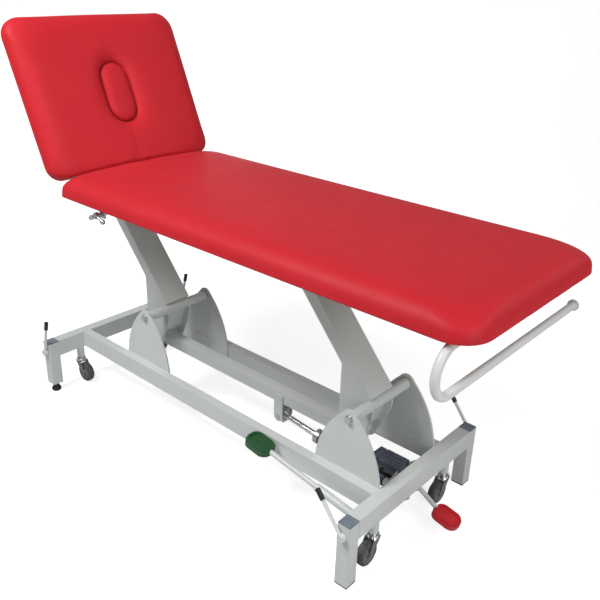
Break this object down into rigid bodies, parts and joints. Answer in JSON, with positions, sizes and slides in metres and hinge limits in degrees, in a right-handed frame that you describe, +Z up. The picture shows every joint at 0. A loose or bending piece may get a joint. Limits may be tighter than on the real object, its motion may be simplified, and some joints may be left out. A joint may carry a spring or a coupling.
{
  "type": "examination couch",
  "caption": "Foot-pumped height-adjustable examination couch with raising backrest, face-hole plug, retractable castors and a paper-roll bar.",
  "frame": {"origin": "on the floor, in the symmetry plane of the base, midway between the head-end and foot-end legs", "axes": "+X towards the foot end along the couch, +Y towards the left side of a patient lying face up, +Z up"},
  "size_m": [1.7378, 0.7184, 1.336],
  "materials": {
    "frame_paint": "light grey powder coat, satin",
    "castor_paint": "dark grey stamped steel",
    "cap_plastic": "blue-grey moulded plastic",
    "black_plastic": "black moulded plastic",
    "bearing_plastic": "black flanged bearing bush",
    "pin_black": "black oxide steel with caps",
    "pump_paint": "dark blue-grey paint on cast and machined blocks",
    "zinc_steel": "zinc plated",
    "chrome": "polished",
    "hose_rubber": "black hydraulic hose",
    "wheel_rubber": "dark grey tread and hub",
    "pedal_green": "dark green moulded rubber",
    "pedal_red": "red moulded rubber",
    "upholstery_red": "red coated upholstery fabric over foam",
    "plug_red": "red coated upholstery fabric over foam",
    "board_wood": "birch plywood",
    "bar_paint": "light powder coat",
    "gas_black": "black painted tube"
  },
  "bodies": {
    "base": {"base_frame": "frame_paint", "leg_caps": "cap_plastic", "leg_glides": "black_plastic", "pivot_bolts": "zinc_steel", "pump_block": "pump_paint", "pump_hose": "hose_rubber"},
    "levelling_foot_right": {"levelling_foot_right": "black_plastic"},
    "levelling_foot_left": {"levelling_foot_left": "black_plastic"},
    "head_arm": {"head_arm": "frame_paint", "head_arm_bushes": "bearing_plastic", "head_link_pin": "pin_black"},
    "foot_arm": {"foot_arm": "frame_paint", "foot_arm_bushes": "bearing_plastic", "foot_link_pin": "pin_black"},
    "link_bar": {"link_bar": "frame_paint", "clevis_pin": "zinc_steel"},
    "pump_cylinder": {"pump_cylinder": "pump_paint", "pump_gland": "zinc_steel"},
    "piston_rod": {"piston_rod": "chrome"},
    "pump_pedal": {"pump_pedal": "frame_paint", "pump_pedal_pad": "pedal_green"},
    "release_pedal": {"release_pedal": "frame_paint", "release_pedal_pad": "pedal_red"},
    "top": {"top_frame": "frame_paint", "top_pins": "zinc_steel", "main_board": "board_wood", "main_pad": "upholstery_red", "board_screws": "zinc_steel", "paper_bar": "bar_paint", "frame_bolts": "zinc_steel", "release_cable": "hose_rubber"},
    "release_handle": {"release_handle": "zinc_steel"},
    "backrest": {"backrest_frame": "frame_paint", "backrest_board": "board_wood", "backrest_pad": "upholstery_red", "backrest_screws": "zinc_steel", "gas_upper_bolt": "zinc_steel"},
    "face_plug": {"face_plug": "plug_red"},
    "gas_cylinder": {"gas_cylinder": "gas_black"},
    "gas_rod": {"gas_rod": "chrome"},
    "lever_head_right": {"lever_head_right": "chrome", "grip_head_right": "black_plastic"},
    "stem_head_right": {"stem_head_right": "zinc_steel"},
    "fork_head_right": {"fork_head_right": "castor_paint"},
    "wheel_head_right": {"wheel_head_right": "wheel_rubber"},
    "lever_head_left": {"lever_head_left": "chrome", "grip_head_left": "black_plastic"},
    "stem_head_left": {"stem_head_left": "zinc_steel"},
    "fork_head_left": {"fork_head_left": "castor_paint"},
    "wheel_head_left": {"wheel_head_left": "wheel_rubber"},
    "lever_foot_right": {"lever_foot_right": "chrome", "grip_foot_right": "black_plastic"},
    "stem_foot_right": {"stem_foot_right": "zinc_steel"},
    "fork_foot_right": {"fork_foot_right": "castor_paint"},
    "wheel_foot_right": {"wheel_foot_right": "wheel_rubber"},
    "lever_foot_left": {"lever_foot_left": "chrome", "grip_foot_left": "black_plastic"},
    "stem_foot_left": {"stem_foot_left": "zinc_steel"},
    "fork_foot_left": {"fork_foot_left": "castor_paint"},
    "wheel_foot_left": {"wheel_foot_left": "wheel_rubber"}
  },
  "joints": [
    {"name": "lift", "type": "hinge", "parent": "base", "child": "head_arm", "pos_m": [-0.327, 0, 0.375], "axis": [0, 1, 0], "range_deg": [-44, 6]},
    {"name": "head_top_pivot", "type": "hinge", "parent": "head_arm", "child": "top", "pos_m": [-0.67074, 0, 0.77182], "axis": [0, 1, 0], "range_deg": [-6, 44]},
    {"name": "head_link_pivot", "type": "hinge", "parent": "head_arm", "child": "link_bar", "pos_m": [-0.389, 0, 0.233], "axis": [0, 1, 0], "range_deg": [-6, 44]},
    {"name": "foot_arm_pivot", "type": "hinge", "parent": "base", "child": "foot_arm", "pos_m": [0.565, 0, 0.375], "axis": [0, 1, 0], "range_deg": [-44, 6]},
    {"name": "cylinder_trunnion", "type": "hinge", "parent": "base", "child": "pump_cylinder", "pos_m": [0.64, 0, 0.116], "axis": [0, 1, 0], "range_deg": [-0.1, 0.74]},
    {"name": "piston_stroke", "type": "slide", "parent": "pump_cylinder", "child": "piston_rod", "axis": [-0.9947, 0, 0.1031], "range_m": [-0.1152, 0.0158]},
    {"name": "pump_pedal_hinge", "type": "hinge", "parent": "base", "child": "pump_pedal", "pos_m": [0.665, 0, 0.133], "axis": [0, -1, 0], "range_deg": [0, 17]},
    {"name": "release_pedal_hinge", "type": "hinge", "parent": "base", "child": "release_pedal", "pos_m": [0.665, 0, 0.133], "axis": [0, 1, 0], "range_deg": [0, 12]},
    {"name": "backrest_hinge", "type": "hinge", "parent": "top", "child": "backrest", "pos_m": [-0.489, 0, 0.849], "axis": [0, 1, 0], "range_deg": [-65.8, 8.2]},
    {"name": "gas_spring_pivot", "type": "hinge", "parent": "top", "child": "gas_cylinder", "pos_m": [-0.29, 0.12, 0.764], "axis": [0, 1, 0], "range_deg": [-12.3, 1.6]},
    {"name": "gas_spring_stroke", "type": "slide", "parent": "gas_cylinder", "child": "gas_rod", "axis": [-0.9959, 0, 0.091], "range_m": [-0.1012, 0.0127]},
    {"name": "face_plug_slide", "type": "slide", "parent": "backrest", "child": "face_plug", "axis": [0.9121, 0, 0.4099], "range_m": [0, 0.08]},
    {"name": "release_handle_turn", "type": "hinge", "parent": "top", "child": "release_handle", "pos_m": [-0.298, -0.2, 0.786], "axis": [0, 1, 0], "range_deg": [-20, 20]},
    {"name": "foot_screw_right", "type": "hinge", "parent": "base", "child": "levelling_foot_right", "pos_m": [-0.7, -0.295, 0.03], "axis": [0, 0, 1], "continuous": true},
    {"name": "foot_screw_left", "type": "hinge", "parent": "base", "child": "levelling_foot_left", "pos_m": [-0.7, 0.295, 0.03], "axis": [0, 0, 1], "continuous": true},
    {"name": "lever_head_right_turn", "type": "hinge", "parent": "base", "child": "lever_head_right", "pos_m": [-0.7, -0.3, 0.168], "axis": [0, -1, 0], "range_deg": [0, 100]},
    {"name": "stem_head_right_slide", "type": "slide", "parent": "base", "child": "stem_head_right", "axis": [0, 0, -1], "range_m": [0, 0.00805]},
    {"name": "swivel_head_right", "type": "hinge", "parent": "stem_head_right", "child": "fork_head_right", "pos_m": [-0.7, -0.178, 0.1], "axis": [0, 0, 1], "continuous": true},
    {"name": "roll_head_right", "type": "hinge", "parent": "fork_head_right", "child": "wheel_head_right", "pos_m": [-0.672, -0.178, 0.041], "axis": [0, 1, 0], "continuous": true},
    {"name": "lever_head_left_turn", "type": "hinge", "parent": "base", "child": "lever_head_left", "pos_m": [-0.7, 0.3, 0.168], "axis": [0, -1, 0], "range_deg": [0, 100]},
    {"name": "stem_head_left_slide", "type": "slide", "parent": "base", "child": "stem_head_left", "axis": [0, 0, -1], "range_m": [0, 0.00805]},
    {"name": "swivel_head_left", "type": "hinge", "parent": "stem_head_left", "child": "fork_head_left", "pos_m": [-0.7, 0.178, 0.1], "axis": [0, 0, 1], "continuous": true},
    {"name": "roll_head_left", "type": "hinge", "parent": "fork_head_left", "child": "wheel_head_left", "pos_m": [-0.672, 0.178, 0.041], "axis": [0, 1, 0], "continuous": true},
    {"name": "lever_foot_right_turn", "type": "hinge", "parent": "base", "child": "lever_foot_right", "pos_m": [0.7, -0.3, 0.168], "axis": [0, 1, 0], "range_deg": [0, 100]},
    {"name": "stem_foot_right_slide", "type": "slide", "parent": "base", "child": "stem_foot_right", "axis": [0, 0, -1], "range_m": [0, 0.00805]},
    {"name": "swivel_foot_right", "type": "hinge", "parent": "stem_foot_right", "child": "fork_foot_right", "pos_m": [0.7, -0.178, 0.1], "axis": [0, 0, 1], "continuous": true},
    {"name": "roll_foot_right", "type": "hinge", "parent": "fork_foot_right", "child": "wheel_foot_right", "pos_m": [0.7, -0.206, 0.041], "axis": [1, 0, 0], "continuous": true},
    {"name": "lever_foot_left_turn", "type": "hinge", "parent": "base", "child": "lever_foot_left", "pos_m": [0.7, 0.3, 0.168], "axis": [0, 1, 0], "range_deg": [0, 100]},
    {"name": "stem_foot_left_slide", "type": "slide", "parent": "base", "child": "stem_foot_left", "axis": [0, 0, -1], "range_m": [0, 0.00805]},
    {"name": "swivel_foot_left", "type": "hinge", "parent": "stem_foot_left", "child": "fork_foot_left", "pos_m": [0.7, 0.178, 0.1], "axis": [0, 0, 1], "continuous": true},
    {"name": "roll_foot_left", "type": "hinge", "parent": "fork_foot_left", "child": "wheel_foot_left", "pos_m": [0.7, 0.15, 0.041], "axis": [1, 0, 0], "continuous": true}
  ],
  "couplings": [
    {"joint": "head_top_pivot", "follows": "lift", "ratio": -1},
    {"joint": "head_link_pivot", "follows": "lift", "ratio": -1},
    {"joint": "foot_arm_pivot", "follows": "lift", "ratio": 1},
    {"joint": "cylinder_trunnion", "follows": "lift", "ratio": -0.0166},
    {"joint": "piston_stroke", "follows": "lift", "m_per_rad": 0.14995},
    {"joint": "gas_spring_pivot", "follows": "backrest_hinge", "ratio": 0.1856},
    {"joint": "gas_spring_stroke", "follows": "backrest_hinge", "m_per_rad": 0.088035},
    {"joint": "stem_head_right_slide", "follows": "lever_head_right_turn", "m_per_rad": 0.0045837},
    {"joint": "stem_head_left_slide", "follows": "lever_head_left_turn", "m_per_rad": 0.0045837},
    {"joint": "stem_foot_right_slide", "follows": "lever_foot_right_turn", "m_per_rad": 0.0045837},
    {"joint": "stem_foot_left_slide", "follows": "lever_foot_left_turn", "m_per_rad": 0.0045837}
  ]
}
